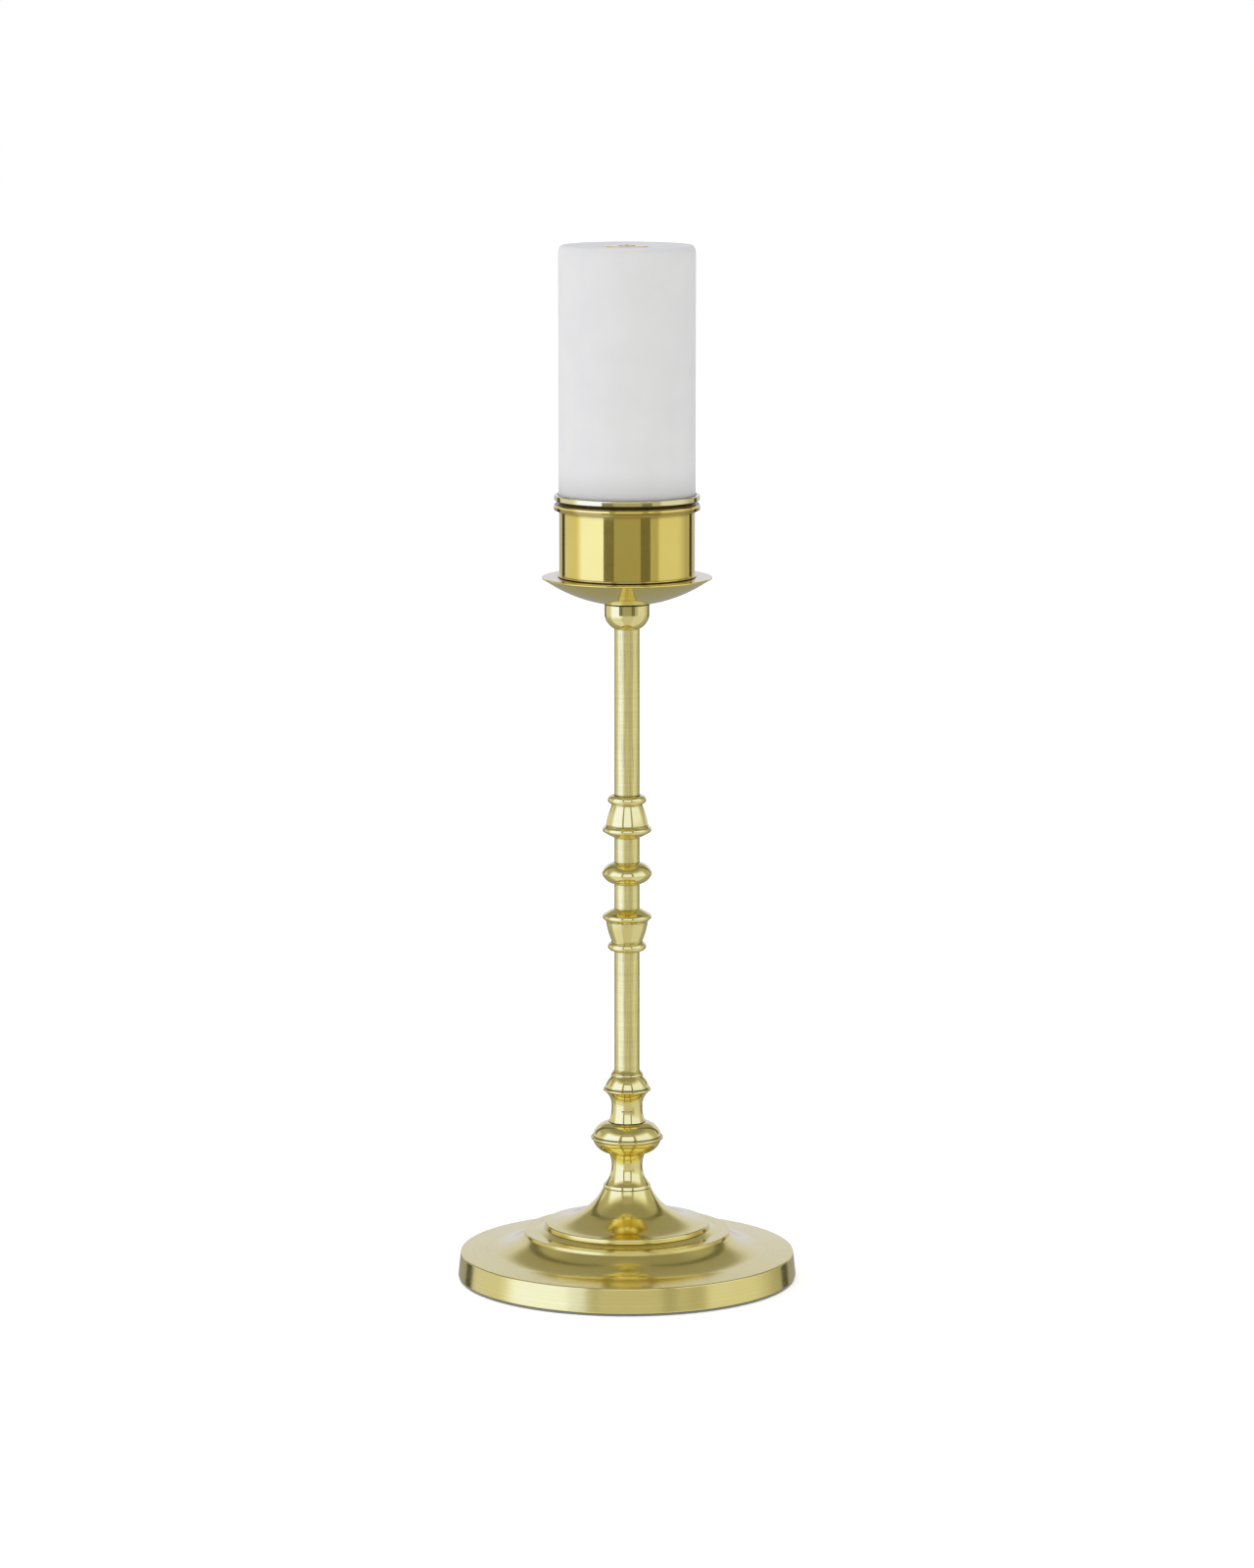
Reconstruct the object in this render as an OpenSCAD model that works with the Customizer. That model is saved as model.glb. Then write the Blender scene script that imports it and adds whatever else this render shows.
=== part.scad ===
// Turned brass pillar candle holder with a lift-off pan and a refillable pillar candle.
// Millimetres, +Z up. The origin is the centre of the base on the table, and every piece
// is turned about the Z axis. Outlines are drawn as [radius, height] above the piece's own foot.

/* [Base] */
// Diameter of the base at its lower edge
base_d = 174.9; // [168:0.2:184]
// How much narrower the base wall is at its upper edge
base_taper = 2.3; // [1:0.1:3]
// Height of the base wall's upper edge above the table
rim_z = 14.2; // [13:0.1:15.5]
// Diameter where the flat ring meets the cove
cove_d = 144; // [138:0.5:150]
// Rise of the flat ring from the rim to the cove
ring_rise = 0.7; // [0.4:0.1:1.2]
// Radius of the cove's hollow
cove_hollow_r = 26; // [24:1:40]
// Diameter of the ridge at the top of the cove
ridge_d = 106.4; // [102:0.2:110]
// Height of the ridge above the table
ridge_z = 25.0; // [23.5:0.1:26]
// Height of the deck that the bell stands on
deck_z = 26.7; // [26.2:0.1:28]
// Thickness of the felt pad under the base
felt_t = 1.2; // [0.8:0.1:2]

/* [Bell] */
// Diameter of the bell's foot
bell_foot_d = 85.4; // [80:0.2:90]
// Diameter of the bell's top, where the lower neck stands on it
bell_top_d = 24.7; // [22:0.1:26]
// Height of the bell
bell_h = 21; // [19:0.1:24]

/* [Necks and knop] */
// Height of the lower neck
lower_neck_h = 18.2; // [16:0.1:21]
// Diameter of both necks at their waists
waist_d = 16; // [14:0.1:17]
// Diameter of the large knop, without its ridge
knop_d = 35.7; // [32:0.1:38]
// Diameter of the large knop over its ridge
knop_ridge_d = 37.6; // [36:0.1:41]
// Height of the large knop
knop_h = 16.2; // [15:0.1:17.5]
// Height of the upper neck's shoulder, where the stem tube starts
upper_neck_h = 27.6; // [27:0.1:31]

/* [Stem] */
// Outer diameter of the stem tubes
tube_d = 13; // [12:0.1:13.6]
// Wall thickness of the stem tubes
tube_wall = 1; // [0.8:0.1:1.4]
// Length of the lower stem tube
lower_tube_l = 62.1; // [40:0.1:120]
// Length of each short spacer tube
spacer_l = 12.9; // [10:0.1:30]
// Length of the upper stem tube
upper_tube_l = 85.8; // [40:0.1:160]
// Diameter of the vase collars' widest disc
vase_d = 25.3; // [24:0.1:28]
// Diameter of the centre bead
bead_d = 26; // [24:0.1:28]
// Height of the centre bead
bead_h = 11.1; // [10.5:0.1:13]

/* [Cup] */
// Diameter of the half-ball socket under the dish
socket_d = 23.3; // [21:0.1:25]
// Height of the half-ball socket
socket_h = 12.9; // [11.5:0.1:15]
// Diameter of the drip dish
dish_d = 87.3; // [84:0.1:96]
// Depth of the drip dish's bowl
dish_h = 13; // [11:0.1:16]
// Diameter of the candle collar's wall
collar_d = 69.3; // [66:0.1:71]
// Height of the candle collar
collar_h = 37.2; // [30:0.1:60]
// Diameter over the rolled lips of the collar and the pan
lip_d = 74.7; // [73.8:0.1:77]

/* [Candle] */
// Diameter of the pillar candle
candle_d = 70; // [69:0.1:70]
// Height of the pillar candle
candle_h = 130; // [110:1:220]
// Diameter of the brass burner cap
burner_d = 21; // [20.6:0.1:23]
// Length of the oil cell below the burner cap
oil_cell_l = 85; // [60:1:95]

/* [Fits] */
// Diameter of the tie rod, its nuts' thread and its washers' hole
rod_d = 6; // [5:1:6]
// Clearance all round the tie rod in each turned piece
rod_gap = 0.3; // [0.2:0.05:0.5]
// Clearance all round a spigot in a tube
spigot_gap = 0.05; // [0.03:0.01:0.1]
// Clearance all round each part that lifts out
lift_gap = 0.35; // [0.3:0.05:0.5]

/* [Hidden] */
$fn = 96;

// Fixed details, the same whatever the driving sizes are
edge_r = 0.8;           // rounding of the base wall's two edges
ridge_r = 0.5;          // rounding of the ridge
ridge_land = 0.3;       // flat land inside the ridge
ridge_wall_h = 1.4;     // upright wall below the ridge
trough_hollow_r = 13;   // hollow between the ridge and the bell
shell_wall = 3;         // wall of the base shell
shell_step_r = 46;      // radius of the raised middle of the shell's hollow
weight_gap = 0.3;       // clearance round the iron weight
foot_wall_h = 1.7;      // upright wall of the bell's foot
crease = 0.35;          // how far the bell's foot overhangs its deck
seam = 0.3;             // chamfer that parts two turned pieces
groove_r = 0.35;        // groove that sets off a ridge
neck_end_r = 9.5;       // both necks where they meet the large knop
spigot_l = 6;           // length of a spigot in a long tube
short_spigot_l = 4;     // length of a spigot in a spacer tube
washer_d = 18;
washer_t = 1.6;
nut_flats = 10;         // width across the flats of a nut
nut_h = 5;
thread_out = 1.5;       // rod that shows past each nut
collar_wall = 1.5;
collar_floor = 2;
plate_t = 0.9;
pan_floor = 1.2;
pan_spigot_l = 8;
spun_wall = 1.2;        // wall of the spun bowl and of the pan's spigot
crater_d = 42;          // dished middle of the candle's top
crater_deep = 1.2;
shoulder = 3.4;         // height of the candle's rounded shoulder
vase_h = 22;            // height of each vase collar
cap_t = 1;              // thickness of the burner cap's flange
cell_wall = 1.2;
wick_d = 2.4;
wick_tube_wall = 0.4;
wick_tube_l = 32;

// Radii
base_r = base_d / 2;
rim_r = base_r - base_taper / 2;
deck_r = bell_foot_d / 2 - crease;
tube_r = tube_d / 2;
spigot_r = tube_r - tube_wall - spigot_gap;
rod_r = rod_d / 2;
bore_r = rod_r + rod_gap;
collar_r = collar_d / 2;
collar_bore_r = collar_r - collar_wall;
lip_r = lip_d / 2;
candle_r = candle_d / 2;
pan_r = candle_r + lift_gap;
burner_r = burner_d / 2;
well_r = burner_r - 0.5;
cell_r = well_r - lift_gap;
cell_bore_r = cell_r - cell_wall;

// Heights above the table, from the bottom piece to the top one
weight_z = felt_t;
shelf_z = rim_z - 3.2;      // ceiling of the shell's wide hollow
crown_z = deck_z - 6.2;     // ceiling of its raised middle
recess_z = shelf_z;         // ceiling of the nut's recess in the weight
bell_z = deck_z;
lower_neck_z = bell_z + bell_h;
knop_z = lower_neck_z + lower_neck_h;
upper_neck_z = knop_z + knop_h;
lower_tube_z = upper_neck_z + upper_neck_h;
lower_vase_z = lower_tube_z + lower_tube_l;
lower_spacer_z = lower_vase_z + vase_h;
bead_z = lower_spacer_z + spacer_l;
upper_spacer_z = bead_z + bead_h;
upper_vase_z = upper_spacer_z + spacer_l;
upper_tube_z = upper_vase_z + vase_h;
socket_z = upper_tube_z + upper_tube_l;
bowl_z = socket_z + socket_h;
plate_z = bowl_z + dish_h;
collar_z = plate_z + plate_t;
pan_z = collar_z + collar_h;
candle_z = pan_z + pan_floor;
candle_top_z = candle_z + candle_h;
crater_z = candle_top_z - crater_deep;
rod_low_z = recess_z - washer_t - nut_h - thread_out;
rod_top_z = collar_z + collar_floor + washer_t + nut_h + thread_out;

brass = "#c9b25a";
steel = "#9a9a98";

// Centre of the circle of radius r through a and b; side is 1 for the axis side, -1 for outside
function arc_centre(a, b, r, side) =
    let (mid = (a + b) / 2, d = b - a, half = norm(d) / 2, reach = sqrt(r * r - half * half))
    mid + side * reach / (2 * half) * [-d.y, d.x];

// Outline from the axis to the straight line between a and b, with b above a
module band(a, b) {
    polygon([[0, a.y], a, b, [0, b.y]]);
}

// The same, with the line between a and b swelling outwards as an arc of radius r
module swell(a, b, r) {
    band(a, b);
    intersection() {
        translate(arc_centre(a, b, r, 1)) circle(r = r);
        translate([0, a.y]) square([a.x + b.x, b.y - a.y]);
    }
}

// The same, with the line between a and b hollowed as an arc of radius r
module hollow(a, b, r) {
    difference() {
        band(a, b);
        translate(arc_centre(a, b, r, -1)) circle(r = r);
    }
}

// A round bead in an outline
module bead(at, r) {
    translate(at) circle(r = r);
}

// A chamfer at the foot of an outline, up to corner
module foot_seam(corner) {
    band(corner - [seam, seam], corner);
}

// A chamfer at the top of an outline, up from corner
module top_seam(corner) {
    band(corner, corner + [-seam, seam]);
}

// Turns an outline about the axis, standing on height z
module turned(z) {
    translate([0, 0, z]) rotate_extrude() children();
}

// Bores a hole of radius r right through a piece
module bored(r, z, h) {
    difference() {
        children();
        translate([0, 0, z - 1]) cylinder(r = r, h = h + 2);
    }
}

// A plain length of tube
module tube(r, wall, z, h) {
    bored(r - wall, z, h) translate([0, 0, z]) cylinder(r = r, h = h);
}

// Felt disc under the base, with a hole over the nut
module base_felt() {
    felt_hole_r = 15;
    felt_inset = 0.4;
    color("#77776f") bored(felt_hole_r, 0, felt_t) cylinder(r = base_r - felt_inset, h = felt_t);
}

// Iron disc that fills the shell, recessed for the nut and washer
module base_weight() {
    recess_r = 12;
    color("#4a4a4c") bored(bore_r, weight_z, crown_z) difference() {
        union() {
            translate([0, 0, weight_z])
                cylinder(r = rim_r - shell_wall - weight_gap, h = shelf_z - weight_gap - weight_z);
            translate([0, 0, weight_z])
                cylinder(r = shell_step_r - weight_gap, h = crown_z - weight_z);
        }
        translate([0, 0, weight_z - 1]) cylinder(r = recess_r, h = recess_z - weight_z + 1);
    }
}

// Low two-tier base: wall, flat ring, cove, ridge, trough and deck
module base_shell() {
    wall_foot = [base_r, felt_t + edge_r];
    wall_top = [rim_r, rim_z - edge_r];
    rim = [rim_r - edge_r, rim_z];
    ring_in = [cove_d / 2, rim_z + ring_rise];
    ridge = [ridge_d / 2, ridge_z];
    ridge_high = ridge - [0, ridge_r];
    ridge_low = ridge_high - [0, ridge_wall_h];
    trough_out = ridge - [ridge_r + ridge_land, 0];
    deck = [deck_r, deck_z];
    color(brass) bored(bore_r, 0, deck_z) difference() {
        turned(0) {
            band([base_r - edge_r, felt_t], [base_r - edge_r, wall_foot.y]);
            bead(wall_foot - [edge_r, 0], edge_r);
            band(wall_foot, wall_top);
            bead(wall_top - [edge_r, 0], edge_r);
            band([rim.x, wall_top.y], rim);
            band(rim, ring_in);
            hollow(ring_in, ridge_low, cove_hollow_r);
            band(ridge_low, ridge_high);
            band(ridge_high - [ridge_r, 0], ridge - [ridge_r, 0]);
            bead(ridge_high - [ridge_r, 0], ridge_r);
            hollow(trough_out, deck, trough_hollow_r);
        }
        cylinder(r = rim_r - shell_wall, h = shelf_z);
        cylinder(r = shell_step_r, h = crown_z);
    }
}

// Flared bell that carries the stem, cast hollow underneath
module base_bell() {
    foot_round_r = 0.8;
    foot = [bell_foot_d / 2, foot_wall_h];
    skirt = foot + [-foot_round_r, foot_round_r];
    throat = [22.9, 8.5];
    top = [bell_top_d / 2, bell_h - seam];
    skirt_hollow_r = 40;
    throat_hollow_r = 27;
    core_r = 33;
    core_h = 9;
    color(brass) bored(bore_r, bell_z, bell_h) difference() {
        turned(bell_z) {
            band([foot.x, 0], foot);
            bead(foot - [foot_round_r, 0], foot_round_r);
            band([skirt.x, foot.y], skirt);
            hollow(skirt, throat, skirt_hollow_r);
            hollow(throat, top, throat_hollow_r);
            top_seam(top);
        }
        translate([0, 0, bell_z - 1]) cylinder(r1 = core_r, r2 = bore_r, h = core_h + 1);
    }
}

// Threaded rod that clamps the whole stem from the weight to the collar
module tie_rod() {
    color(steel) translate([0, 0, rod_low_z]) cylinder(r = rod_r, h = rod_top_z - rod_low_z);
}

// Hex nuts at the rod's two ends
module rod_nuts() {
    corner_r = nut_flats / 2 / cos(30);
    for (z = [recess_z - washer_t - nut_h, collar_z + collar_floor + washer_t])
        color(steel) bored(rod_r, z, nut_h)
            translate([0, 0, z]) cylinder(r = corner_r, h = nut_h, $fn = 6);
}

// Washers under the two nuts
module rod_washers() {
    for (z = [recess_z - washer_t, collar_z + collar_floor])
        color(steel) bored(bore_r, z, washer_t)
            translate([0, 0, z]) cylinder(r = washer_d / 2, h = washer_t);
}

// Waisted neck between the bell and the large knop
module lower_neck() {
    foot = [bell_top_d / 2, seam];
    flare = [bell_top_d / 2 - 0.4, 1.6];
    waist = [waist_d / 2, 10.4];
    top = [neck_end_r, lower_neck_h - seam];
    low_hollow_r = 13.5;
    high_hollow_r = 16.5;
    color(brass) bored(bore_r, lower_neck_z, lower_neck_h) turned(lower_neck_z) {
        foot_seam(foot);
        band(foot, flare);
        hollow(flare, waist, low_hollow_r);
        hollow(waist, top, high_hollow_r);
        top_seam(top);
    }
}

// Large round knop with a ridge round its middle
module large_knop() {
    end_r = neck_end_r + 0.1;
    side_r = 9;
    middle = [knop_d / 2, knop_h / 2];
    ridge_bead_r = 0.8;
    ridge_at = [knop_ridge_d / 2 - ridge_bead_r, middle.y];
    color(brass) bored(bore_r, knop_z, knop_h) turned(knop_z) {
        difference() {
            union() {
                swell([end_r, 0], middle, side_r);
                swell(middle, [end_r, knop_h], side_r);
            }
            for (side = [-1, 1])
                bead(middle + [0, side * (ridge_bead_r + groove_r / 2)], groove_r);
        }
        bead(ridge_at, ridge_bead_r);
        band(ridge_at - [0, ridge_bead_r], ridge_at + [0, ridge_bead_r]);
    }
}

// Waisted neck with a ridge, a domed shoulder and a small collar, and a spigot for the tube
module upper_neck() {
    foot = [neck_end_r, seam];
    waist = [waist_d / 2, 7.8];
    flare = [11.5, 16.1];
    ridge_at = [11.8, 17.1];
    ridge_bead_r = 0.65;
    ridge_low = [ridge_at.x, 16.45];
    dome = [11.5, 17.9];
    dome_top = [8.1, 24.1];
    collar_at = [7.7, 24.9];
    fillet = [8, 25.8];
    low_hollow_r = 17;
    flare_hollow_r = 10;
    dome_r = 12.6;
    fillet_r = 7.8;
    color(brass) bored(bore_r, upper_neck_z, upper_neck_h + spigot_l) union() {
        turned(upper_neck_z) {
            foot_seam(foot);
            hollow(foot, waist, low_hollow_r);
            hollow(waist, flare, flare_hollow_r);
            band(flare, ridge_low);
            difference() {
                union() {
                    band(ridge_low, dome);
                    swell(dome, dome_top, dome_r);
                }
                bead(dome + [0, groove_r / 2], groove_r);
            }
            bead(ridge_at, ridge_bead_r);
            band(dome_top, fillet);
            bead(collar_at, ridge_bead_r);
            hollow(fillet, [tube_r, upper_neck_h], fillet_r);
        }
        translate([0, 0, lower_tube_z]) cylinder(r = spigot_r, h = spigot_l);
    }
}

// Long plain tube below the vase collars
module lower_stem_tube() {
    color(brass) tube(tube_r, tube_wall, lower_tube_z, lower_tube_l);
}

// Vase-shaped collar: ring at the foot, swelling cone, wide disc; ends in a spigot each way
module vase_collar() {
    ring_r = 2.2;
    ring_at = [7.75, 2.3];
    waist = [8, 5.1];
    cone_top = [10.85, 15.3];
    disc_bead_r = 1.6;
    disc_at = [vase_d / 2 - disc_bead_r, 17.8];
    disc_low = [disc_at.x + 0.9, 16.7];
    disc_high = [disc_at.x + 0.9, 19];
    cone_r = 44;
    crown_r = 29;
    color(brass) bored(bore_r, -spigot_l, vase_h + spigot_l + short_spigot_l) union() {
        turned(0) {
            band([tube_r, 0], [tube_r, ring_at.y]);
            band([waist.x, ring_at.y], waist);
            bead(ring_at, ring_r);
            difference() {
                union() {
                    swell(waist, cone_top, cone_r);
                    band(cone_top, disc_low);
                }
                bead(cone_top + [groove_r / 2, 0], groove_r);
            }
            band(disc_low, disc_high);
            bead(disc_at, disc_bead_r);
            swell(disc_high, [tube_r, vase_h], crown_r);
        }
        translate([0, 0, -spigot_l]) cylinder(r = spigot_r, h = spigot_l + 1);
        translate([0, 0, vase_h - 1]) cylinder(r = spigot_r, h = short_spigot_l + 1);
    }
}

// Vase collar with its disc uppermost
module lower_vase_collar() {
    translate([0, 0, lower_vase_z]) vase_collar();
}

// Short tube below the centre bead
module lower_spacer_tube() {
    color(brass) tube(tube_r, tube_wall, lower_spacer_z, spacer_l);
}

// Pointed round bead at the middle of the stem, with a spigot each way
module centre_bead() {
    end_r = tube_r - seam;
    side_r = 7.9;
    middle = [bead_d / 2, bead_h / 2];
    full_h = bead_h + 2 * short_spigot_l;
    color(brass) bored(bore_r, bead_z - short_spigot_l, full_h) union() {
        turned(bead_z) {
            swell([end_r, 0], middle, side_r);
            swell(middle, [end_r, bead_h], side_r);
        }
        translate([0, 0, bead_z - short_spigot_l]) cylinder(r = spigot_r, h = full_h);
    }
}

// Short tube above the centre bead
module upper_spacer_tube() {
    color(brass) tube(tube_r, tube_wall, upper_spacer_z, spacer_l);
}

// Vase collar with its disc downmost
module upper_vase_collar() {
    translate([0, 0, upper_vase_z + vase_h]) mirror([0, 0, 1]) vase_collar();
}

// Long plain tube above the vase collars
module upper_stem_tube() {
    color(brass) tube(tube_r, tube_wall, upper_tube_z, upper_tube_l);
}

// Half-ball socket under the drip dish, with a spigot down into the tube
module cup_socket() {
    foot = [tube_r, 0];
    side = [socket_d / 2, 7.8];
    lip = [socket_d / 2, socket_h - seam];
    ball_r = 9.5;
    color(brass) bored(bore_r, socket_z - spigot_l, socket_h + spigot_l) union() {
        turned(socket_z) {
            swell(foot, side, ball_r);
            band(side, lip);
            top_seam(lip);
        }
        translate([0, 0, socket_z - spigot_l]) cylinder(r = spigot_r, h = spigot_l + 1);
    }
}

// Outline of the spun bowl, drawn in by a wall thickness
module bowl_outline(inset) {
    foot_r = 10.5;
    edge_inset = 0.8;
    bowl_r = 73.7;
    swell([foot_r - inset / 4, 0], [dish_d / 2 - edge_inset - inset, dish_h], bowl_r - inset);
}

// Shallow spun bowl that forms the underside of the drip dish
module dish_bowl() {
    color(brass) bored(bore_r, bowl_z, dish_h) difference() {
        turned(bowl_z) bowl_outline(0);
        turned(bowl_z + spun_wall) bowl_outline(spun_wall);
    }
}

// Thin flat plate with a rounded edge that forms the top of the drip dish
module dish_plate() {
    edge_at = [(dish_d - plate_t) / 2, plate_t / 2];
    color(brass) bored(bore_r, plate_z, plate_t) turned(plate_z) {
        square([edge_at.x, plate_t]);
        bead(edge_at, plate_t / 2);
    }
}

// Deep collar with a beaded foot and a rolled lip, bolted through its floor
module candle_collar() {
    foot_bead_r = 0.55;
    foot_bead_sunk = 0.1;
    lip_low = [lip_r - 0.1, collar_h - 2.8];
    lip_high = [lip_r - 0.1, collar_h - seam];
    lip_bulge_r = 12;
    lip_under = [1, 0.4];
    color(brass) bored(bore_r, collar_z, collar_floor) difference() {
        turned(collar_z) {
            square([collar_r, collar_h]);
            bead([collar_r - foot_bead_sunk, foot_bead_r], foot_bead_r);
            band(lip_low - lip_under, lip_low);
            swell(lip_low, lip_high, lip_bulge_r);
            top_seam(lip_high);
        }
        translate([0, 0, collar_z + collar_floor]) cylinder(r = collar_bore_r, h = collar_h);
    }
}

// Shallow pan that the candle stands in; a ring below it plugs into the collar
module candle_pan() {
    foot = [collar_r, 0.3];
    rim_low = [lip_r - 0.15, 2.3];
    rim_high = [lip_r - 0.15, 4.6];
    rim_bulge_r = 30;
    spigot_out_r = collar_bore_r - lift_gap;
    color(brass) union() {
        turned(pan_z) difference() {
            union() {
                band([foot.x, 0], foot);
                band(foot, rim_low);
                swell(rim_low, rim_high, rim_bulge_r);
                top_seam(rim_high);
            }
            translate([0, pan_floor]) square([pan_r, rim_high.y]);
        }
        tube(spigot_out_r, spun_wall, pan_z - pan_spigot_l, pan_spigot_l + pan_floor / 2);
    }
}

// White pillar candle with a dished top and a well for the oil cell
module candle_body() {
    foot_r = 0.8;
    foot_round_r = 1.2;
    brow = [candle_r - 1.6, candle_h];
    brow_round_r = 4.6;
    color("#e4e3de") difference() {
        turned(candle_z) {
            swell([candle_r - foot_r, 0], [candle_r, foot_r], foot_round_r);
            translate([0, foot_r]) square([candle_r, candle_h - shoulder - foot_r]);
            swell([candle_r, candle_h - shoulder], brow, brow_round_r);
        }
        translate([0, 0, crater_z])
            cylinder(r1 = burner_r + lift_gap, r2 = crater_d / 2, h = crater_deep);
        translate([0, 0, crater_z]) cylinder(r = burner_r + lift_gap, h = crater_deep + 1);
        translate([0, 0, crater_z - oil_cell_l - lift_gap])
            cylinder(r = well_r, h = oil_cell_l + crater_deep + 1);
    }
}

// Slim oil cell that hangs from the burner cap
module oil_cell() {
    low_z = crater_z - oil_cell_l;
    color("#dfe6e2") difference() {
        translate([0, 0, low_z]) cylinder(r = cell_r, h = oil_cell_l);
        translate([0, 0, low_z + cell_wall]) cylinder(r = cell_bore_r, h = oil_cell_l);
    }
}

// Brass cap that closes the oil cell, with vent holes round a wick boss
module burner_cap() {
    vents = 4;
    vent_r = 0.6;
    vent_ring_r = 2.75;
    skirt_l = 5;
    boss_r = 4.2;
    tube_out_r = wick_d / 2 + wick_tube_wall;
    color(brass) difference() {
        union() {
            translate([0, 0, crater_z]) cylinder(r = burner_r, h = cap_t);
            translate([0, 0, crater_z + cap_t / 2]) cylinder(r = boss_r, h = crater_deep - cap_t / 2);
            translate([0, 0, crater_z - skirt_l])
                cylinder(r = cell_bore_r - spigot_gap, h = skirt_l + cap_t / 2);
        }
        translate([0, 0, crater_z - skirt_l - 1])
            cylinder(r = boss_r, h = skirt_l + 1);
        cylinder(r = tube_out_r, h = candle_top_z + 1);
        for (turn = [0 : 360 / vents : 359])
            rotate([0, 0, turn]) translate([vent_ring_r, 0, crater_z - 1])
                cylinder(r = vent_r, h = crater_deep + 2);
    }
}

// Brass tube that holds the wick in the burner cap
module wick_tube() {
    color(brass) tube(wick_d / 2 + wick_tube_wall, wick_tube_wall,
                      candle_top_z - wick_tube_l, wick_tube_l);
}

// Woven wick from the bottom of the oil cell up through its tube
module wick() {
    end_gap = 2;
    top_gap = 0.2;
    side_gap = 0.05;
    low_z = crater_z - oil_cell_l + cell_wall + end_gap;
    color("#efe9d8") translate([0, 0, low_z])
        cylinder(r = wick_d / 2 - side_gap, h = candle_top_z - top_gap - low_z);
}

base_felt();
base_weight();
base_shell();
base_bell();
tie_rod();
rod_nuts();
rod_washers();
lower_neck();
large_knop();
upper_neck();
lower_stem_tube();
lower_vase_collar();
lower_spacer_tube();
centre_bead();
upper_spacer_tube();
upper_vase_collar();
upper_stem_tube();
cup_socket();
dish_bowl();
dish_plate();
candle_collar();
candle_pan();
candle_body();
oil_cell();
burner_cap();
wick_tube();
wick();
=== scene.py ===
"""Looks of the turned brass candle holder: materials, soft pieces, studio, floor and camera.

Metres, +Z up, the camera on the -Y side. Every turned piece is centred on the Z axis.
"""

import math
from collections import namedtuple

import bmesh
import bpy
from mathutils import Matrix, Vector, noise


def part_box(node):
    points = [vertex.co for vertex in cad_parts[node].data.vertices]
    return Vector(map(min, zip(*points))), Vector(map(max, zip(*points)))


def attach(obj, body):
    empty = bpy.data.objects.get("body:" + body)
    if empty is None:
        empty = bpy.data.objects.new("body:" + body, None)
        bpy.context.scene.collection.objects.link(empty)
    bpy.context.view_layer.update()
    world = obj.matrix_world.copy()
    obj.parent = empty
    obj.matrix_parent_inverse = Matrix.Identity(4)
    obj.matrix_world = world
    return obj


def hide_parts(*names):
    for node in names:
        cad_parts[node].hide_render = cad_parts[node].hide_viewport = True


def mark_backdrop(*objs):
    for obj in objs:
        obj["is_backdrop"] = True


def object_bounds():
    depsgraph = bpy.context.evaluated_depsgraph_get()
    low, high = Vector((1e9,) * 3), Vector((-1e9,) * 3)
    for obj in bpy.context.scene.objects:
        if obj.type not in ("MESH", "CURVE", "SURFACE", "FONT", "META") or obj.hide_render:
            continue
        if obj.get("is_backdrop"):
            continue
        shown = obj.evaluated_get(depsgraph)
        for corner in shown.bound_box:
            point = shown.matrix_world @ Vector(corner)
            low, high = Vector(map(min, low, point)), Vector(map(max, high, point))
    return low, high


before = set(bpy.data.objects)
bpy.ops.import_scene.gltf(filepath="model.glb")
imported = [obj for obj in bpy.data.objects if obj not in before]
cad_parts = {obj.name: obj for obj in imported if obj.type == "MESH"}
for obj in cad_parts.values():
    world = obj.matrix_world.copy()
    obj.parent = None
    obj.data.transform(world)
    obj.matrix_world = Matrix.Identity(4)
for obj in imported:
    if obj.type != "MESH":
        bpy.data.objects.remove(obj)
cad_low, cad_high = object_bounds()

MM = 0.001

# Where the camera stands, how it looks at the holder and the distances that it sees between
EYE_DISTANCE = 2.896
EYE_HEIGHT = 0.701
LOOK_DOWN_DEG = 8.69
LENS_MM = 131.3
SENSOR_MM = 36.0
NEAREST, FARTHEST = 0.1, 50.0

# Brass as a metal's linear colour: the cup's rich yellow, the loose pan's and the stem's pale
# ones, the drawn tubes, the base, the dark tone that it has where polish gathers, which also
# paints the shade in its seams, and the brown painted shade under the collar's lip
BRASS_CUP = (0.84, 0.65, 0.135)
BRASS_PAN = (0.85, 0.75, 0.33)
BRASS_STEM = (0.84, 0.71, 0.235)
BRASS_TUBE = (0.885, 0.75, 0.24)
BRASS_BASE = (0.84, 0.70, 0.21)
BRASS_GRIME_AND_SHADE = (0.08, 0.06, 0.02)
BRASS_LIP_SHADE = (0.30, 0.19, 0.045)

# White wax: its two mottled tones, the painted shade at its foot, how strong that is, and
# how far above the foot it is full and gone
WAX_PALE = (0.75, 0.747, 0.735)
WAX_GREY = (0.72, 0.718, 0.709)
WAX_FOOT_SHADE = (0.55, 0.545, 0.54)
WAX_SHADE = 0.65
WAX_SHADE_LOW, WAX_SHADE_HIGH = 2 * MM, 20 * MM

# The other pieces' two tones each: felt and its clumps, zinc, black paint, milky plastic, glass
# fibre and its singed end
FELT_DARK = (0.12, 0.12, 0.115)
FELT_PALE = (0.34, 0.34, 0.33)
FELT_CLUMP = (0.2, 0.2, 0.19)
ZINC_COOL = (0.52, 0.53, 0.54)
ZINC_WARM = (0.66, 0.66, 0.65)
PAINT_BLACK = (0.028, 0.028, 0.03)
PAINT_WORN = (0.06, 0.055, 0.05)
PLASTIC_DIM = (0.72, 0.76, 0.74)
PLASTIC_PALE = (0.8, 0.83, 0.81)
FIBRE_DIM = (0.62, 0.58, 0.48)
FIBRE_PALE = (0.82, 0.79, 0.7)
FIBRE_SINGED = (0.03, 0.025, 0.02)
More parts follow.
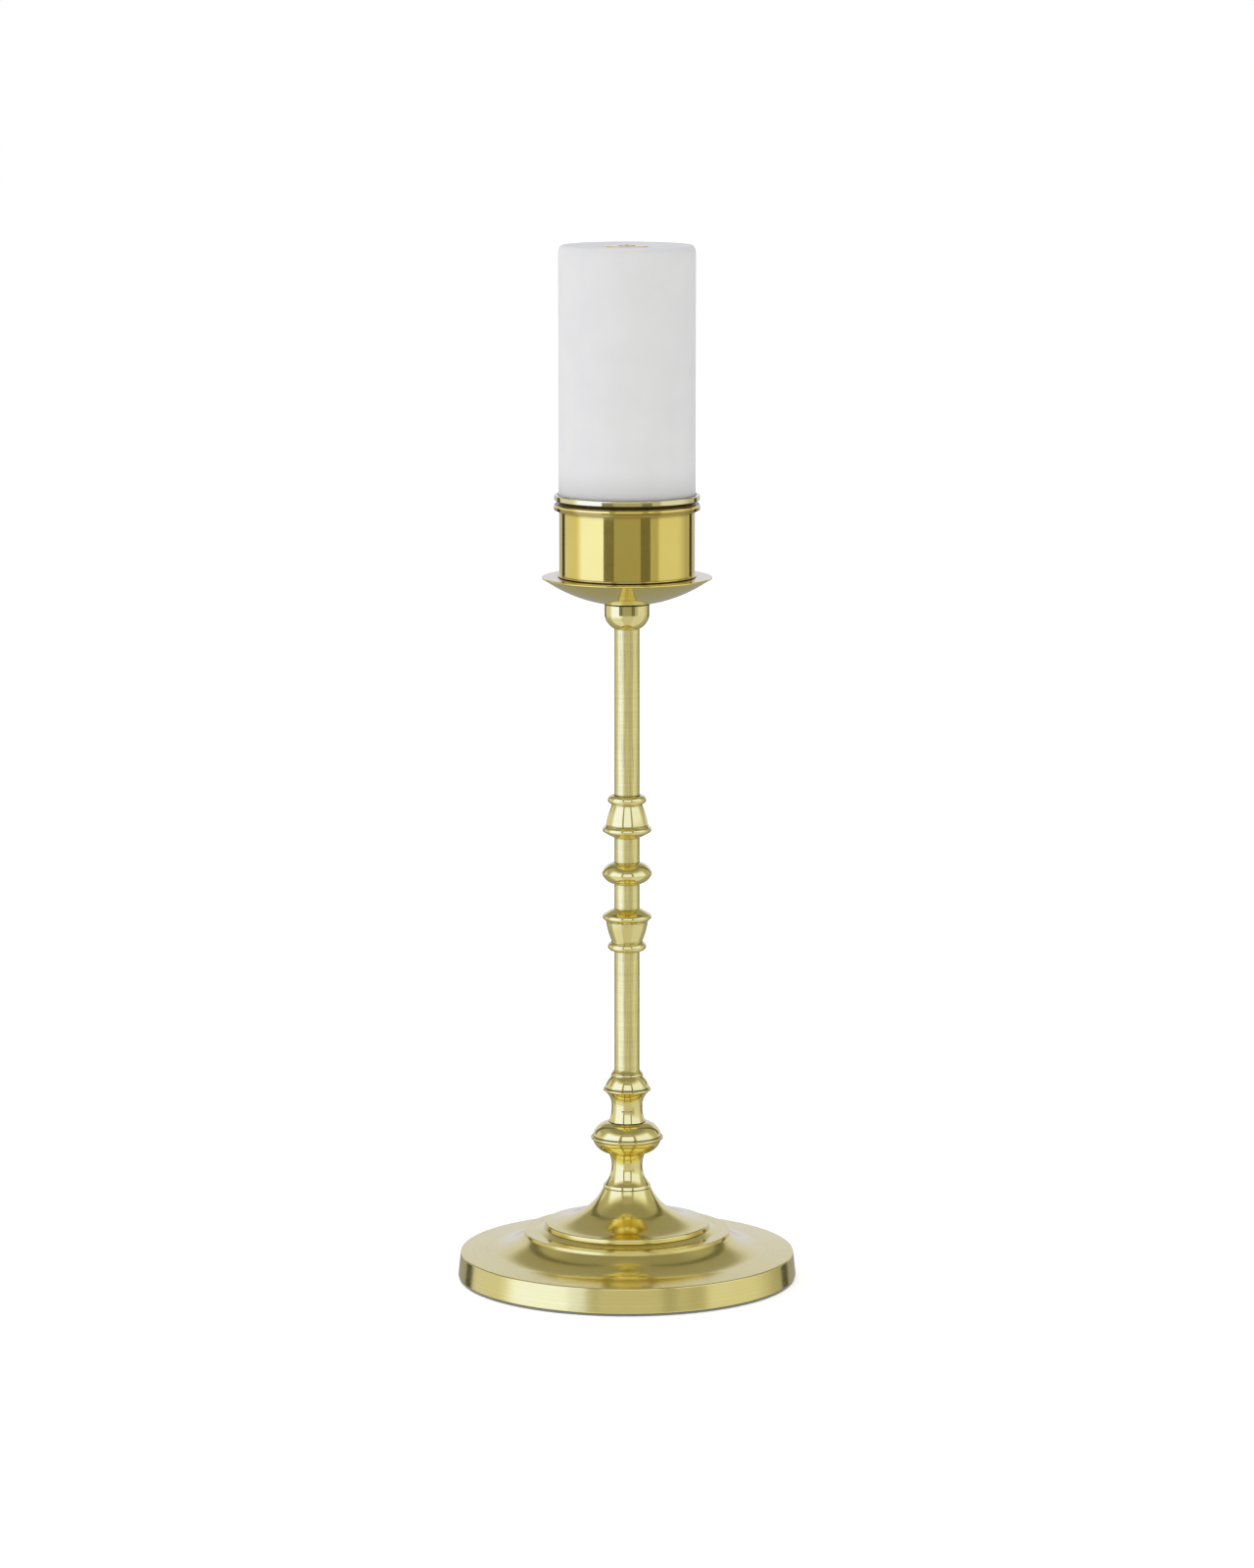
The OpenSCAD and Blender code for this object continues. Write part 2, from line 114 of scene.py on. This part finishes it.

# Painted shade in a seam, dark as grime: how far out it reaches, how open the place is where it
# is full and gone, how strong it is and how much it roughens
CREVICE_REACH = 1.4 * MM
CREVICE_FULL, CREVICE_GONE = 0.42, 0.93
SEAM_SHADE_WEIGHT = 0.9
GRIME_ROUGHNESS = 0.2

# Inside a deep hollow: how open it is where the metal is dullest and clean, and how metallic it
# is at the dullest
HOLLOW_DULL, HOLLOW_CLEAN = 0.2, 0.5
HOLLOW_METAL = 0.35

# The cup's painted shade, a brown band from these depths below the collar's lip, its strength
# and its soft edge
LIP_SHADE_LOW, LIP_SHADE_HIGH = 3.1 * MM, 1.5 * MM
LIP_SHADE_WEIGHT = 0.8
LIP_SHADE_FADE = 0.4 * MM

# Drawn tube: streaks to a radian round it, and how many radians a metre along it counts as
STREAKS = 9.0
STREAK_RUN = 5.0

# Felt pad: the hole over the nut, the depth and size of its loose tufts, the size of its nap and
# the depth of that as a share of the pad's, and how many points round and rings across it has
FELT_HOLE_R = 15 * MM
FELT_FUZZ = 0.25 * MM
FELT_TUFT = 1.6 * MM
FELT_NAP = 3.5 * MM
FELT_NAP_SHARE = 0.08
FELT_SIDES = 288
FELT_RINGS = 20

# Wick: the length of one plait, a strand's share of the wick's radius, the room left round them,
# how deep the strands cross as a share of their swing, how many points go round a strand and along
# a plait, and how much of its end is singed
WICK_PLAIT = 4.5 * MM
STRAND_SHARE = 0.36
STRAND_ROOM = 0.02 * MM
STRAND_CROSS = 0.45
STRAND_SIDES = 8
PLAIT_STEPS = 14
SINGED = 1.2 * MM

# Floor: its radius and number of sides, how far it lies under the holder, its tone and its glow
FLOOR_R = 12.0
FLOOR_SIDES = 96
FLOOR_DROP = 0.02 * MM
FLOOR_TONE = 0.85
FLOOR_GLOW = 0.4


# ---------------------------------------------------------------- node helpers

class Graph:
    """Short ways to add shader nodes to one node tree."""

    def __init__(self, tree):
        self.tree = tree
        self.tree.nodes.clear()

    def add(self, kind, **settings):
        node = self.tree.nodes.new(kind)
        for key, value in settings.items():
            setattr(node, key, value)
        return node

    def link(self, source, target):
        self.tree.links.new(source, target)

    def feed(self, socket, value):
        """Links a socket, or sets a plain value."""
        if isinstance(value, bpy.types.NodeSocket):
            self.link(value, socket)
        else:
            socket.default_value = value

    def math(self, operation, *values):
        node = self.add("ShaderNodeMath", operation=operation)
        for socket, value in zip(node.inputs, values):
            self.feed(socket, value)
        return node.outputs[0]

    def mix(self, factor, a, b):
        """Colour mix of a and b."""
        node = self.add("ShaderNodeMix", data_type="RGBA")
        self.feed(node.inputs[0], factor)
        for socket, value in ((node.inputs[6], a), (node.inputs[7], b)):
            self.feed(socket, value if isinstance(value, bpy.types.NodeSocket) else (*value, 1))
        return node.outputs[2]

    def remap(self, value, low, high, to_low, to_high, smooth=False):
        """The value taken from one range to another, and held at its ends."""
        node = self.add("ShaderNodeMapRange")
        if smooth:
            node.interpolation_type = "SMOOTHSTEP"
        self.feed(node.inputs["Value"], value)
        for name, end in (("From Min", low), ("From Max", high),
                          ("To Min", to_low), ("To Max", to_high)):
            self.feed(node.inputs[name], end)
        return node.outputs[0]

    def noise(self, vector, scale, detail=2.0, roughness=0.5):
        node = self.add("ShaderNodeTexNoise")
        self.feed(node.inputs["Vector"], vector)
        node.inputs["Scale"].default_value = scale
        node.inputs["Detail"].default_value = detail
        node.inputs["Roughness"].default_value = roughness
        return node.outputs["Fac"]

    def ramp(self, factor, stops):
        """Colour ramp through (position, colour) stops."""
        node = self.add("ShaderNodeValToRGB")
        elements = node.color_ramp.elements
        while len(elements) > 1:
            elements.remove(elements[-1])
        for i, (position, colour) in enumerate(stops):
            element = elements[0] if i == 0 else elements.new(position)
            element.position = position
            element.color = (*colour, 1)
        self.feed(node.inputs[0], factor)
        return node.outputs[0]

    def place(self):
        """Position on the piece, which stays with it when it moves."""
        return self.add("ShaderNodeTexCoord").outputs["Object"]

    def split(self, vector):
        """The three parts of a vector."""
        node = self.add("ShaderNodeSeparateXYZ")
        self.link(vector, node.inputs[0])
        return node.outputs

    def join(self, x, y, z=0.0):
        """A vector of three parts."""
        node = self.add("ShaderNodeCombineXYZ")
        for socket, part in zip(node.inputs, (x, y, z)):
            self.feed(socket, part)
        return node.outputs[0]

    def height(self, place):
        """Height of a place."""
        return self.split(place)[2]

    def turned_place(self, place):
        """(distance from the axis, 0, height): the same all round a turned piece."""
        x, y, height = self.split(place)
        squares = [self.math("MULTIPLY", side, side) for side in (x, y)]
        return self.join(self.math("SQRT", self.math("ADD", *squares)), 0.0, height)

    def lengthwise_place(self, place):
        """(direction from the axis, height times STREAK_RUN): streaks that run along a tube."""
        x, y, height = self.split(place)
        out = self.add("ShaderNodeVectorMath", operation="NORMALIZE")
        self.link(self.join(x, y), out.inputs[0])
        out_x, out_y, _ = self.split(out.outputs[0])
        return self.join(out_x, out_y, self.math("MULTIPLY", height, STREAK_RUN))

    def openness(self, reach):
        """How open the surface is within reach, from 0, shut in, to 1."""
        node = self.add("ShaderNodeAmbientOcclusion", samples=8)
        node.inputs["Distance"].default_value = reach
        return node.outputs["AO"]

    def bump(self, height, strength, distance, normal=None):
        node = self.add("ShaderNodeBump")
        node.inputs["Strength"].default_value = strength
        node.inputs["Distance"].default_value = distance
        self.feed(node.inputs["Height"], height)
        if normal is not None:
            self.link(normal, node.inputs["Normal"])
        return node.outputs["Normal"]


def new_material(name):
    """A material with one principled shader, its graph and the shader."""
    material = bpy.data.materials.new(name)
    material.use_nodes = True
    graph = Graph(material.node_tree)
    shader = graph.add("ShaderNodeBsdfPrincipled")
    output = graph.add("ShaderNodeOutputMaterial")
    graph.link(shader.outputs[0], output.inputs[0])
    return material, graph, shader


# ------------------------------------------------------------------- materials

def brass(name, clean, gloss, smudge, line_scale, line_depth, line_tint, brushed=0.0, drawn=0.0,
          reach=CREVICE_REACH, hollow=0.0, shaded_band=None):
    """Polished brass: gloss is its roughness where clean, and smudge is how much that varies. The
    lathe's lines run round the axis, line_scale to the metre, line_depth deep and tinted by
    line_tint. brushed is how far they stretch the shine, and drawn is how strong the streaks
    along a tube are. A painted shade, dark as grime, lies within reach of a seam. What is shut in
    within the distance hollow is dull, and a brown painted shade lies between the two heights of
    the shaded band."""
    warm = (clean[0] * 0.95, clean[1] * 0.9, clean[2] * 0.78)
    material, g, shader = new_material(name)
    place = g.place()
    turned = g.turned_place(place)
    cloud = g.noise(place, 38.0, 3.0)
    breath = g.noise(place, 210.0, 4.0, 0.6)
    lines = g.noise(turned, line_scale, 2.0, 0.7)
    fine_lines = g.noise(turned, line_scale * 3.1, 1.0)

    # Painted shade: seams and crevices are darkened by how shut in they are
    closed = g.remap(g.openness(reach), CREVICE_FULL, CREVICE_GONE, 1.0, 0.0, smooth=True)

    tone = g.mix(g.remap(cloud, 0.35, 0.7, 0.0, 0.5), clean, warm)
    tinted = g.mix(g.remap(lines, 0.35, 0.7, 0.0, line_tint), tone, BRASS_GRIME_AND_SHADE)
    # Painted shade: a brown band under the collar's lip
    if shaded_band:
        low, high = shaded_band
        height = g.height(place)
        above = g.remap(height, low, low + LIP_SHADE_FADE, 0.0, LIP_SHADE_WEIGHT)
        below = g.remap(height, high, high + LIP_SHADE_FADE, 1.0, 0.0)
        tinted = g.mix(g.math("MULTIPLY", above, below), tinted, BRASS_LIP_SHADE)
    if drawn:
        streaks = g.noise(g.lengthwise_place(place), STREAKS, 2.0, 0.6)
        tinted = g.mix(g.remap(streaks, 0.4, 0.7, 0.0, drawn), tinted, BRASS_GRIME_AND_SHADE)
    g.link(g.mix(g.math("MULTIPLY", closed, SEAM_SHADE_WEIGHT), tinted, BRASS_GRIME_AND_SHADE),
           shader.inputs["Base Color"])

    worn = g.remap(breath, 0.3, 0.75, gloss, gloss + smudge)
    rough = g.math("ADD", worn, g.remap(fine_lines, 0.4, 0.7, 0.0, smudge * 0.6))
    g.link(g.math("ADD", rough, g.math("MULTIPLY", closed, GRIME_ROUGHNESS)),
           shader.inputs["Roughness"])

    if hollow:
        g.link(g.remap(g.openness(hollow), HOLLOW_DULL, HOLLOW_CLEAN, HOLLOW_METAL, 1.0),
               shader.inputs["Metallic"])
    else:
        shader.inputs["Metallic"].default_value = 1.0
    if brushed:
        shader.inputs["Anisotropic"].default_value = brushed
        shader.inputs["Anisotropic Rotation"].default_value = 0.25
        tangent = g.add("ShaderNodeTangent", direction_type="RADIAL", axis="Z")
        g.link(tangent.outputs[0], shader.inputs["Tangent"])
    ripple = g.bump(g.noise(place, 55.0, 1.0), 0.06, 0.4 * MM)
    g.link(g.bump(lines, 0.25, line_depth, ripple), shader.inputs["Normal"])
    return material


def wax(name):
    """White paraffin: a faint mottle, small dimples and light that goes a little way in. Its foot,
    down in the brass, is a little greyer, a painted shade."""
    material, g, shader = new_material(name)
    place = g.place()
    mottle = g.noise(place, 60.0, 4.0, 0.55)
    speck = g.noise(place, 420.0, 3.0, 0.6)
    colour = g.mix(g.remap(mottle, 0.3, 0.7, 0.0, 1.0), WAX_PALE, WAX_GREY)
    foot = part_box("candle_body")[0].z
    # Painted shade: the wax is greyer towards its foot
    shaded = g.remap(g.height(place), foot + WAX_SHADE_LOW, foot + WAX_SHADE_HIGH, WAX_SHADE, 0.0,
                     smooth=True)
    g.link(g.mix(shaded, colour, WAX_FOOT_SHADE), shader.inputs["Base Color"])
    g.link(g.remap(speck, 0.3, 0.7, 0.42, 0.56), shader.inputs["Roughness"])
    shader.inputs["Subsurface Weight"].default_value = 0.35
    shader.inputs["Subsurface Radius"].default_value = (1.0, 0.9, 0.8)
    shader.inputs["Subsurface Scale"].default_value = 4 * MM
    shader.inputs["IOR"].default_value = 1.44
    shader.inputs["Specular IOR Level"].default_value = 0.3
    soft = g.bump(mottle, 0.25, 0.5 * MM)
    g.link(g.bump(speck, 0.15, 0.08 * MM, soft), shader.inputs["Normal"])
    return material


def felt(name):
    """Short matted wool with fibres lying every way."""
    material, g, shader = new_material(name)
    place = g.place()
    fibre = g.noise(place, 2600.0, 4.0, 0.75)
    clump = g.noise(place, 240.0, 3.0)
    shade = g.mix(fibre, FELT_DARK, FELT_PALE)
    g.link(g.mix(g.remap(clump, 0.3, 0.7, 0.0, 0.6), shade, FELT_CLUMP),
           shader.inputs["Base Color"])
    shader.inputs["Roughness"].default_value = 0.95
    shader.inputs["Sheen Weight"].default_value = 0.35
    shader.inputs["Sheen Roughness"].default_value = 0.5
    g.link(g.bump(fibre, 0.9, 0.25 * MM), shader.inputs["Normal"])
    return material


def steel(name):
    """Zinc-plated steel, dull, with a fine crystal grain."""
    material, g, shader = new_material(name)
    place = g.place()
    grain = g.noise(place, 900.0, 3.0, 0.6)
    cloud = g.noise(place, 90.0, 2.0)
    g.link(g.mix(cloud, ZINC_COOL, ZINC_WARM), shader.inputs["Base Color"])
    g.link(g.remap(grain, 0.3, 0.7, 0.28, 0.5), shader.inputs["Roughness"])
    shader.inputs["Metallic"].default_value = 1.0
    g.link(g.bump(grain, 0.3, 0.05 * MM), shader.inputs["Normal"])
    return material


def iron(name):
    """Black painted cast iron with a pebbled skin."""
    material, g, shader = new_material(name)
    place = g.place()
    pebble = g.noise(place, 700.0, 4.0, 0.65)
    patch = g.noise(place, 60.0, 3.0)
    g.link(g.mix(patch, PAINT_BLACK, PAINT_WORN), shader.inputs["Base Color"])
    g.link(g.remap(pebble, 0.3, 0.7, 0.45, 0.75), shader.inputs["Roughness"])
    g.link(g.bump(pebble, 0.7, 0.3 * MM), shader.inputs["Normal"])
    return material


def cell_plastic(name):
    """Milky plastic of the oil cell, with faint flow marks."""
    material, g, shader = new_material(name)
    place = g.place()
    flow = g.noise(place, 120.0, 2.0)
    g.link(g.mix(flow, PLASTIC_DIM, PLASTIC_PALE), shader.inputs["Base Color"])
    g.link(g.remap(flow, 0.3, 0.7, 0.18, 0.32), shader.inputs["Roughness"])
    shader.inputs["Subsurface Weight"].default_value = 0.5
    shader.inputs["Subsurface Scale"].default_value = 2 * MM
    g.link(g.bump(flow, 0.1, 0.03 * MM), shader.inputs["Normal"])
    return material


def wick_fibre(name):
    """Plaited glass fibre, off-white and lightly singed at its tip."""
    material, g, shader = new_material(name)
    place = g.place()
    strand = g.noise(place, 5200.0, 3.0, 0.7)
    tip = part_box("wick")[1].z
    singe = g.remap(g.height(place), tip - SINGED, tip, 0.0, 0.9, smooth=True)
    clean = g.mix(strand, FIBRE_DIM, FIBRE_PALE)
    g.link(g.mix(singe, clean, FIBRE_SINGED), shader.inputs["Base Color"])
    shader.inputs["Roughness"].default_value = 0.9
    g.link(g.bump(strand, 0.8, 0.1 * MM), shader.inputs["Normal"])
    return material


# Under the roll of the collar's lip the cup has a brown painted shade
lip_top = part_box("candle_collar")[1].z

FINISHES = {
    "cup": brass("brass_cup", BRASS_CUP, gloss=0.045, smudge=0.03, line_scale=2600.0,
                 line_depth=0.004 * MM, line_tint=0.03, reach=2.8 * MM, hollow=25 * MM,
                 shaded_band=(lip_top - LIP_SHADE_LOW, lip_top - LIP_SHADE_HIGH)),
    "pan": brass("brass_pan", BRASS_PAN, gloss=0.06, smudge=0.03, line_scale=2600.0,
                 line_depth=0.004 * MM, line_tint=0.03, reach=0.8 * MM),
    "stem": brass("brass_stem", BRASS_STEM, gloss=0.045, smudge=0.025, line_scale=2200.0,
                  line_depth=0.004 * MM, line_tint=0.04),
    "bell": brass("brass_bell", BRASS_BASE, gloss=0.11, smudge=0.05, line_scale=1500.0,
                  line_depth=0.006 * MM, line_tint=0.05),
    "base": brass("brass_base", BRASS_BASE, gloss=0.13, smudge=0.05, line_scale=1500.0,
                  line_depth=0.008 * MM, line_tint=0.08, brushed=0.2),
    "tube": brass("brass_tube", BRASS_TUBE, gloss=0.20, smudge=0.03, line_scale=700.0,
                  line_depth=0.001 * MM, line_tint=0.12, brushed=0.6, drawn=0.22),
    "cap": brass("brass_cap", BRASS_STEM, gloss=0.12, smudge=0.05, line_scale=3000.0,
                 line_depth=0.002 * MM, line_tint=0.04, reach=0.3 * MM),
    "wax": wax("wax_white"),
    "felt": felt("felt_grey"),
    "steel": steel("steel_zinc"),
    "iron": iron("iron_black"),
    "cell": cell_plastic("plastic_cell"),
    "wick": wick_fibre("fibre_wick"),
}

# The nodes that wear each finish. The felt and the wick are made below.
WEARS = {
    "cup": ["candle_collar", "dish_plate"],
    "pan": ["candle_pan"],
    "stem": ["dish_bowl", "cup_socket", "upper_vase_collar", "lower_vase_collar", "centre_bead",
             "upper_neck", "large_knop", "lower_neck"],
    "bell": ["base_bell"],
    "base": ["base_shell"],
    "tube": ["upper_stem_tube", "lower_stem_tube", "upper_spacer_tube", "lower_spacer_tube"],
    "cap": ["burner_cap", "wick_tube"],
    "wax": ["candle_body"],
    "steel": ["tie_rod", "rod_nuts", "rod_washers"],
    "iron": ["base_weight"],
    "cell": ["oil_cell"],
}

for finish, names in WEARS.items():
    for name in names:
        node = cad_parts[name]
        node.data.materials.clear()
        node.data.materials.append(FINISHES[finish])


# ------------------------------------------------------------- the soft pieces

def new_piece(name, mesh, material):
    """A piece from a bmesh, with its material."""
    data = bpy.data.meshes.new(name)
    mesh.to_mesh(data)
    mesh.free()
    data.materials.append(material)
    piece = bpy.data.objects.new(name, data)
    bpy.context.scene.collection.objects.link(piece)
    return piece


def smooth_piece(name, mesh, finish):
    """A smooth closed piece, with one of the finishes."""
    bmesh.ops.recalc_face_normals(mesh, faces=mesh.faces)
    piece = new_piece(name, mesh, FINISHES[finish])
    piece.data.shade_smooth()
    return piece


def join_rings(mesh, rings, closed):
    """Faces between each ring of vertices and the next one, and back to the first if closed."""
    pairs = list(zip(rings, rings[1:] + rings[:1])) if closed else list(zip(rings, rings[1:]))
    for ring, following in pairs:
        count = len(ring)
        for i in range(count):
            k = (i + 1) % count
            mesh.faces.new((ring[i], ring[k], following[k], following[i]))


def felt_pad():
    """Pressed felt disc under the base: a fuzzy cut edge, and an underside rubbed uneven."""
    low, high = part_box("base_felt")
    outer_r = high.x
    hole_r = FELT_HOLE_R
    # (radius, share of the thickness): the underside, the outer edge, the top and the hole's edge
    outline = [(hole_r + (outer_r - 0.3 * MM - hole_r) * i / FELT_RINGS, 0.0)
               for i in range(FELT_RINGS + 1)]
    outline += [(outer_r, 0.25), (outer_r, 0.75), (outer_r - 0.15 * MM, 1.0)]
    outline += [(hole_r + 1 * MM, 1.0), (hole_r, 0.8), (hole_r, 0.25)]
    mesh = bmesh.new()
    rings = []
    for radius, rise in outline:
        ring = []
        for i in range(FELT_SIDES):
            angle = 2 * math.pi * i / FELT_SIDES
            out = Vector((math.cos(angle), math.sin(angle), 0.0))
            tuft = noise.noise(out * radius / FELT_TUFT + Vector((0, 0, 7 * rise)))
            nap = 0.5 + 0.5 * noise.noise(out * radius / FELT_NAP)
            spot = out * (radius - (0.5 + 0.5 * tuft) * FELT_FUZZ)
            spot.z = low.z + (high.z - low.z) * (rise if rise else nap * FELT_NAP_SHARE)
            ring.append(mesh.verts.new(spot))
        rings.append(ring)
    join_rings(mesh, rings, closed=True)
    piece = smooth_piece("felt_pad", mesh, "felt")
    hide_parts("base_felt")
    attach(piece, "holder")


def plaited_wick():
    """Three glass-fibre strands plaited into a round wick."""
    low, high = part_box("wick")
    strand_r = STRAND_SHARE * high.x
    swing = high.x - strand_r - STRAND_ROOM
    cross = STRAND_CROSS * swing
    steps = round((high.z - low.z) / WICK_PLAIT * PLAIT_STEPS)
    angles = [2 * math.pi * i / STRAND_SIDES for i in range(STRAND_SIDES)]
    around = [strand_r * Vector((math.cos(angle), math.sin(angle), 0)) for angle in angles]
    mesh = bmesh.new()
    for strand in range(3):
        rings = []
        for step in range(steps + 1):
            turn = 2 * math.pi * (step / PLAIT_STEPS + strand / 3)
            middle = Vector((swing * math.sin(turn), cross * math.sin(2 * turn),
                             low.z + (high.z - low.z) * step / steps))
            rings.append([mesh.verts.new(middle + out) for out in around])
        join_rings(mesh, rings, closed=False)
        mesh.faces.new(rings[0])
        mesh.faces.new(rings[-1])
    piece = smooth_piece("plaited_wick", mesh, "wick")
    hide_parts("wick")
    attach(piece, "burner")


felt_pad()
plaited_wick()


# ------------------------------------------------------------------- the stage

def floor():
    """A wide pale floor under the holder. The brass mirrors the room's panels in its place."""
    material, _, shader = new_material("floor_pale")
    shader.inputs["Base Color"].default_value = (FLOOR_TONE, FLOOR_TONE, FLOOR_TONE, 1)
    shader.inputs["Roughness"].default_value = 1.0
    shader.inputs["Specular IOR Level"].default_value = 0.0
    shader.inputs["Emission Color"].default_value = (1, 1, 1, 1)
    shader.inputs["Emission Strength"].default_value = FLOOR_GLOW
    mesh = bmesh.new()
    bmesh.ops.create_circle(mesh, cap_ends=True, segments=FLOOR_SIDES, radius=FLOOR_R)
    piece = new_piece("studio_floor", mesh, material)
    piece.location.z = cad_low.z - FLOOR_DROP
    piece.visible_glossy = False
    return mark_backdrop(piece)


# The light on what isn't a mirror: from the left, from the right, and how much more from above
LIGHT_LEFT = 0.90
LIGHT_RIGHT = 0.37
LIGHT_ABOVE = 0.45

# The room as the brass mirrors it: brightness of its front, with the camera, and of its back, and
# how far round, in degrees, the one ends and the other begins
ROOM_FRONT, ROOM_FRONT_ENDS = 0.62, 60
ROOM_BACK, ROOM_BACK_BEGINS = 0.34, 150

# The panels that stand in that room. A panel has its azimuth round from the camera's side, its
# half width, its lowest and highest height and the softness of its edge, all in degrees, and its
# brightness. A later panel stands in front of an earlier one.
Panel = namedtuple("Panel", "azimuth half_width low high soft bright")
PANELS = {
    "floor_left": Panel(-65, 32, -90, -18, 10, 0.80),
    "floor_right": Panel(70, 35, -90, -18, 14, 0.70),
    "back_wall": Panel(-172, 62, -6, 24, 10, 0.70),
    "ceiling": Panel(0, 181, 52, 91, 20, 0.31),
    "left_card": Panel(-105, 26, -20, 16, 12, 0.70),
    "right_card": Panel(78, 32, -20, 16, 38, 0.76),
    "left_soft_box": Panel(-57, 33, -26, 46, 18, 1.0),
    "right_soft_box": Panel(63, 34, 6, 44, 18, 0.93),
    "front_window": Panel(3, 22, 4, 42, 3, 0.95),
    "front_lintel": Panel(2, 22, 44, 62, 3, 0.42),
    "front_sill": Panel(0, 40, -8.5, -4.6, 0.8, 0.38),
    "left_gap": Panel(-23, 4.5, -2, 52, 2, 0.36),
    "right_gap": Panel(29, 4.5, -2, 52, 2, 0.36),
    "left_post": Panel(-31, 9, -8.5, -4.6, 0.8, 0.18),
    "right_post": Panel(32, 9, -8.5, -4.6, 0.8, 0.17),
    "right_stand": Panel(48, 7, -12, 3, 7, 0.48),
    "left_flag_top": Panel(-139, 6, 4, 75, 4, 0.15),
    "right_flag_top": Panel(139, 6, 4, 75, 4, 0.15),
    "left_flag": Panel(-137.5, 6, -16, -4.8, 1.4, 0.06),
    "right_flag": Panel(137.5, 6, -16, -4.8, 1.4, 0.06),
}

# Colour of the light at each brightness: the soft boxes are cooler than the room's grey
LIGHT_COLOURS = [
    (0.0, (0.0, 0.0, 0.0)),
    (0.2, (0.22, 0.22, 0.22)),
    (0.4, (0.43, 0.44, 0.46)),
    (0.6, (0.65, 0.67, 0.82)),
    (0.8, (0.86, 0.93, 1.30)),
    (0.9, (0.97, 1.09, 1.80)),
    (1.0, (1.12, 1.33, 2.95)),
]


def panel_cover(g, panel, around, height):
    """How far a panel covers each direction, from 0 to 1, with its soft edge."""
    half = panel.soft / 2
    aside = g.math("WRAP", g.math("SUBTRACT", around, panel.azimuth), 180, -180)
    within = g.remap(g.math("ABSOLUTE", aside), panel.half_width + half,
                     panel.half_width - half, 0, 1, smooth=True)
    above = g.remap(height, panel.low - half, panel.low + half, 0, 1, smooth=True)
    below = g.remap(height, panel.high + half, panel.high - half, 0, 1, smooth=True)
    return g.math("MULTIPLY", g.math("MULTIPLY", within, above), below)


def mirrored_room(g, x, y, z):
    """Light of the room that the brass mirrors."""
    around = g.math("DEGREES", g.math("ARCTAN2", x, g.math("MULTIPLY", y, -1.0)))
    height = g.math("DEGREES", g.math("ARCSINE", z))
    level = g.remap(g.math("ABSOLUTE", around), ROOM_FRONT_ENDS, ROOM_BACK_BEGINS,
                    ROOM_FRONT, ROOM_BACK)
    for panel in PANELS.values():
        level = g.remap(panel_cover(g, panel, around, height), 0, 1, level, panel.bright)
    return g.ramp(level, LIGHT_COLOURS)


def plain_light(g, x, z):
    """Light on what isn't a mirror, with no panels in it."""
    side = g.remap(x, -1, 1, LIGHT_LEFT, LIGHT_RIGHT)
    soft = g.math("ADD", side, g.remap(z, 0, 1, 0, LIGHT_ABOVE))
    light = g.add("ShaderNodeCombineColor")
    for socket in light.inputs[:3]:
        g.link(soft, socket)
    return light.outputs[0]


def studio():
    """A soft white room. Only what the brass mirrors has soft boxes and gaps in it."""
    world = bpy.data.worlds.new("studio")
    bpy.context.scene.world = world
    world.use_nodes = True
    # Only the rays that reach it sample it, since each kind of ray finds its own light there
    world.cycles.sampling_method = "NONE"
    g = Graph(world.node_tree)
    x, y, z = g.split(g.add("ShaderNodeTexCoord").outputs["Generated"])
    path = g.add("ShaderNodeLightPath")
    seen = g.mix(path.outputs["Is Glossy Ray"], plain_light(g, x, z), mirrored_room(g, x, y, z))
    seen = g.mix(path.outputs["Is Camera Ray"], seen, (1.0, 1.0, 1.0))
    background = g.add("ShaderNodeBackground")
    g.link(seen, background.inputs[0])
    output = g.add("ShaderNodeOutputWorld")
    g.link(background.outputs[0], output.inputs[0])


def camera():
    """A long lens a little above the holder, tilted down at it."""
    data = bpy.data.cameras.new("camera")
    data.sensor_width = SENSOR_MM
    data.lens = LENS_MM
    data.clip_start, data.clip_end = NEAREST, FARTHEST
    piece = bpy.data.objects.new("camera", data)
    bpy.context.scene.collection.objects.link(piece)
    piece.location = (0, -EYE_DISTANCE, EYE_HEIGHT)
    piece.rotation_euler = (math.radians(90 - LOOK_DOWN_DEG), 0, 0)
    bpy.context.scene.camera = piece


floor()
studio()
camera()
bpy.context.scene.view_settings.view_transform = "Standard"
bpy.context.scene.view_settings.look = "None"
